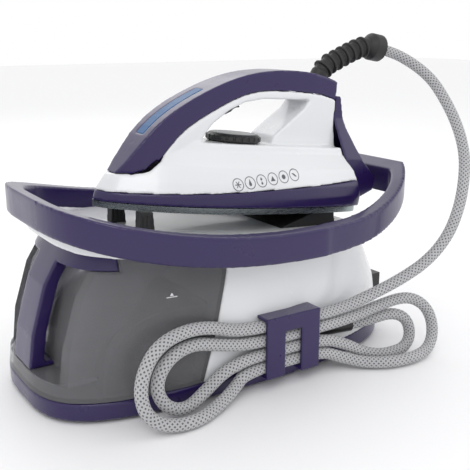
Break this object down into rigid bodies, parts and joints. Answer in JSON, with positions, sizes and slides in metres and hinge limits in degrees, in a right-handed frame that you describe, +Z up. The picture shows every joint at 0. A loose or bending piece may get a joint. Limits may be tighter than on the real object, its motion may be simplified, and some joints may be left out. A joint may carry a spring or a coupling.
{
  "type": "steam generator iron",
  "caption": "Steam iron resting on a boiler base, with a slide-out water tank at the front, a carry frame round the top and a braided hose looped in a side clip.",
  "frame": {"origin": "on the table under the middle of the base's and frame's outline, hose and boot left out", "axes": "+X from the tank's nose to the rear bar of the carry frame, +Z up, +Y across; the hose clip is at -Y"},
  "size_m": [0.4284, 0.2449, 0.2909],
  "materials": {
    "white_gloss": "smooth gloss",
    "purple_satin": "satin with a faint pearl",
    "smoke_tank": "tinted clear plastic",
    "black_rubber": "matt",
    "black_plastic": "fine grain",
    "blue_inlay": "soft touch",
    "sole_metal": "ground",
    "cast_metal": "as cast",
    "steel": "plain",
    "brass": "turned",
    "clear_tube": "silicone",
    "hose_cloth": "braided textile with small dark lozenges",
    "circuit": "lacquered board"
  },
  "bodies": {
    "base": {"base_tray": "purple_satin", "rubber_feet": "black_rubber", "tank_shelf": "purple_satin", "housing_screws": "steel", "rear_housing": "white_gloss", "pump_cover": "black_plastic", "carry_frame": "purple_satin", "top_plate": "white_gloss", "front_rests": "black_rubber", "heel_rest": "black_rubber", "hose_clip": "purple_satin", "hose_outlet": "black_plastic", "mains_inlet": "black_plastic", "switch_frame": "black_plastic", "boiler_vessel": "steel", "boiler_brackets": "steel", "boiler_element": "steel", "boiler_thermostat": "steel", "solenoid_valve": "brass", "water_pump": "black_plastic", "pump_mounts": "black_rubber", "dock_valve": "black_plastic", "dock_seal": "black_rubber", "suction_tube": "black_rubber", "feed_tube": "clear_tube", "steam_tube": "clear_tube", "control_board": "circuit", "board_posts": "black_plastic", "hose_hank": "hose_cloth"},
    "tank": {"tank_shell": "smoke_tank", "tank_grip": "purple_satin", "tank_valve": "black_plastic"},
    "iron": {"soleplate": "sole_metal", "steam_chamber": "cast_metal", "sole_element": "steel", "heat_shield": "steel", "iron_screws": "steel", "skirt": "purple_satin", "iron_body": "white_gloss", "microswitch": "black_plastic", "trigger_spring": "steel", "handle_cover": "purple_satin", "handle_inlay": "blue_inlay", "heel_cover": "purple_satin", "iron_thermostat": "steel", "iron_steam_tube": "clear_tube", "hose_boot": "black_rubber", "steam_hose": "hose_cloth"},
    "dial": {"temperature_dial": "black_plastic"},
    "trigger_key": {"trigger": "black_plastic"},
    "rocker": {"switch_rocker": "black_plastic"}
  },
  "joints": [
    {"name": "iron_lift", "type": "slide", "parent": "base", "child": "iron", "axis": [0, 0, 1], "range_m": [0, 0.09], "deforming": ["steam_hose"]},
    {"name": "tank_pull", "type": "slide", "parent": "base", "child": "tank", "axis": [-1, 0, 0], "range_m": [0, 0.13]},
    {"name": "dial_turn", "type": "hinge", "parent": "iron", "child": "dial", "pos_m": [0.01834, 0, 0.19739], "axis": [0.1045, 0, 0.9945], "range_deg": [0, 270]},
    {"name": "trigger_press", "type": "slide", "parent": "iron", "child": "trigger_key", "axis": [-0.3513, 0, 0.9363], "range_m": [0, 0.003], "stiffness_N_per_m": 400, "springref_m": -0.002, "deforming": ["trigger_spring"]},
    {"name": "switch_rock", "type": "hinge", "parent": "base", "child": "rocker", "pos_m": [0.169, -0.022, 0.044], "axis": [0, 1, 0], "range_deg": [0, 16]}
  ]
}
